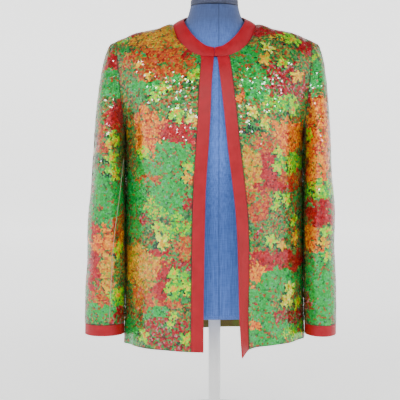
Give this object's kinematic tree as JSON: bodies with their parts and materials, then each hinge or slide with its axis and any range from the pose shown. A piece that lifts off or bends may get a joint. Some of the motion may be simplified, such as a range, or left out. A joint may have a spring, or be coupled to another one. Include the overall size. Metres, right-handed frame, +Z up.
{
  "type": "sequin jacket on a dress form",
  "caption": "Collarless long-sleeved sequin jacket with plain satin edge bands, worn open by a limbless dress form on a post and round base.",
  "frame": {"origin": "centre of the round base's underside, on the floor", "axes": "+Z up, the jacket's front faces -Y, the wearer's left at +X"},
  "size_m": [0.5182, 0.3, 0.8897],
  "materials": {
    "sequin_cloth": "woven ground covered with small glossy sequins in green, lime, yellow, orange and red",
    "red_satin": "smooth satin",
    "blue_linen": "plain linen weave over padding",
    "dark_linen": "dark plain weave over a hard cap",
    "white_enamel": "satin white enamel"
  },
  "bodies": {
    "root": {"front_right": "sequin_cloth", "front_left": "sequin_cloth", "back": "sequin_cloth", "sleeve_right": "sequin_cloth", "sleeve_left": "sequin_cloth", "neck_band": "red_satin", "front_band_right": "red_satin", "front_band_left": "red_satin", "cuff_band_right": "red_satin", "cuff_band_left": "red_satin", "dress_form": "blue_linen", "neck_cap": "dark_linen", "stand_post": "white_enamel", "stand_base": "white_enamel"}
  },
  "joints": []
}
